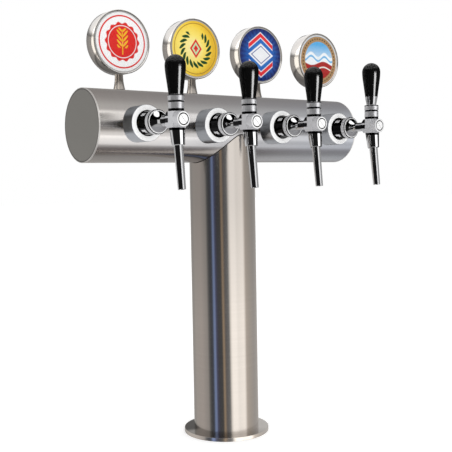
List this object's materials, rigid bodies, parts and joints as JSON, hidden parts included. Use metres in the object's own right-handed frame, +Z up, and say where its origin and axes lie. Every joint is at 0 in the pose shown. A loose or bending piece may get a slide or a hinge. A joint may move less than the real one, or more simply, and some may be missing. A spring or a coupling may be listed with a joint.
{
  "type": "beer tower dispenser",
  "caption": "T-shaped draught beer tower: a steel column on a round foot carries a crossbar with chrome pull taps, black grips and round badge lamps, with lines and valves inside.",
  "frame": {"origin": "centre of the foot's underside, on the column's axis", "axes": "+X along the crossbar, to the right when the taps face you; -Y to the front, where the taps point; +Z up the column"},
  "size_m": [0.4828, 0.2297, 0.637],
  "materials": {
    "tower_steel": "fine lengthwise brushed grain",
    "cap_steel": "dull satin",
    "rosette_steel": "satin turned",
    "tap_chrome": "polished",
    "satin_chrome": "satin",
    "badge_chrome": "polished",
    "grip_black": "high gloss",
    "lens_red_white": "clear domed print",
    "lens_gold": "clear domed print",
    "lens_blue": "clear domed print",
    "lens_tan": "clear domed print",
    "inner_steel": "drawn",
    "seal_rubber": "moulded",
    "spacer_plastic": "moulded",
    "valve_brass": "turned"
  },
  "bodies": {
    "root": {"crossbar_tube": "tower_steel", "left_end_cap": "cap_steel", "right_end_cap": "cap_steel", "column_tube": "tower_steel", "base_flange": "tower_steel", "anchor_ring": "inner_steel", "cooling_loop": "inner_steel", "line_spacers": "spacer_plastic", "tap_shanks": "valve_brass", "shank_fasteners": "inner_steel", "tail_seals": "seal_rubber", "badge_stems": "badge_chrome", "badge_nuts": "inner_steel", "lever_bonnets": "satin_chrome", "drink_line_1": "inner_steel", "rosette_1": "rosette_steel", "coupling_nut_1": "tap_chrome", "tap_body_1": "tap_chrome", "nozzle_1": "tap_chrome", "badge_housing_1": "badge_chrome", "badge_lens_1": "lens_red_white", "drink_line_2": "inner_steel", "rosette_2": "rosette_steel", "coupling_nut_2": "tap_chrome", "tap_body_2": "tap_chrome", "nozzle_2": "tap_chrome", "badge_housing_2": "badge_chrome", "badge_lens_2": "lens_gold", "drink_line_3": "inner_steel", "rosette_3": "rosette_steel", "coupling_nut_3": "tap_chrome", "tap_body_3": "tap_chrome", "nozzle_3": "tap_chrome", "badge_housing_3": "badge_chrome", "badge_lens_3": "lens_blue", "drink_line_4": "inner_steel", "rosette_4": "rosette_steel", "coupling_nut_4": "tap_chrome", "tap_body_4": "tap_chrome", "nozzle_4": "tap_chrome", "badge_housing_4": "badge_chrome", "badge_lens_4": "lens_tan"},
    "lever_1": {"lever_1": "satin_chrome", "grip_1": "grip_black"},
    "piston_1": {"valve_piston_1": "valve_brass"},
    "adjuster_1": {"adjuster_screw_1": "satin_chrome"},
    "lever_2": {"lever_2": "satin_chrome", "grip_2": "grip_black"},
    "piston_2": {"valve_piston_2": "valve_brass"},
    "adjuster_2": {"adjuster_screw_2": "satin_chrome"},
    "lever_3": {"lever_3": "satin_chrome", "grip_3": "grip_black"},
    "piston_3": {"valve_piston_3": "valve_brass"},
    "adjuster_3": {"adjuster_screw_3": "satin_chrome"},
    "lever_4": {"lever_4": "satin_chrome", "grip_4": "grip_black", "grip_ferrule_4": "tap_chrome"},
    "piston_4": {"valve_piston_4": "valve_brass"},
    "adjuster_4": {"adjuster_screw_4": "satin_chrome"}
  },
  "joints": [
    {"name": "lever_1_tilt", "type": "hinge", "parent": "root", "child": "lever_1", "pos_m": [-0.18, -0.1465, 0.483], "axis": [1, 0, 0], "range_deg": [-12, 20]},
    {"name": "piston_1_slide", "type": "slide", "parent": "root", "child": "piston_1", "axis": [0, 1, 0], "range_m": [-0.0019, 0.0032]},
    {"name": "adjuster_1_turn", "type": "hinge", "parent": "root", "child": "adjuster_1", "pos_m": [-0.18, -0.1603, 0.474], "axis": [0, -1, 0], "range_deg": [-90, 90]},
    {"name": "lever_2_tilt", "type": "hinge", "parent": "root", "child": "lever_2", "pos_m": [-0.06, -0.1465, 0.483], "axis": [1, 0, 0], "range_deg": [-12, 20]},
    {"name": "piston_2_slide", "type": "slide", "parent": "root", "child": "piston_2", "axis": [0, 1, 0], "range_m": [-0.0019, 0.0032]},
    {"name": "adjuster_2_turn", "type": "hinge", "parent": "root", "child": "adjuster_2", "pos_m": [-0.06, -0.1603, 0.474], "axis": [0, -1, 0], "range_deg": [-90, 90]},
    {"name": "lever_3_tilt", "type": "hinge", "parent": "root", "child": "lever_3", "pos_m": [0.06, -0.1465, 0.483], "axis": [1, 0, 0], "range_deg": [-12, 20]},
    {"name": "piston_3_slide", "type": "slide", "parent": "root", "child": "piston_3", "axis": [0, 1, 0], "range_m": [-0.0019, 0.0032]},
    {"name": "adjuster_3_turn", "type": "hinge", "parent": "root", "child": "adjuster_3", "pos_m": [0.06, -0.1603, 0.474], "axis": [0, -1, 0], "range_deg": [-90, 90]},
    {"name": "lever_4_tilt", "type": "hinge", "parent": "root", "child": "lever_4", "pos_m": [0.18, -0.1465, 0.483], "axis": [1, 0, 0], "range_deg": [-12, 20]},
    {"name": "piston_4_slide", "type": "slide", "parent": "root", "child": "piston_4", "axis": [0, 1, 0], "range_m": [-0.0019, 0.0032]},
    {"name": "adjuster_4_turn", "type": "hinge", "parent": "root", "child": "adjuster_4", "pos_m": [0.18, -0.1603, 0.474], "axis": [0, -1, 0], "range_deg": [-90, 90]}
  ],
  "couplings": [
    {"joint": "piston_1_slide", "follows": "lever_1_tilt", "m_per_rad": 0.009},
    {"joint": "piston_2_slide", "follows": "lever_2_tilt", "m_per_rad": 0.009},
    {"joint": "piston_3_slide", "follows": "lever_3_tilt", "m_per_rad": 0.009},
    {"joint": "piston_4_slide", "follows": "lever_4_tilt", "m_per_rad": 0.009}
  ]
}
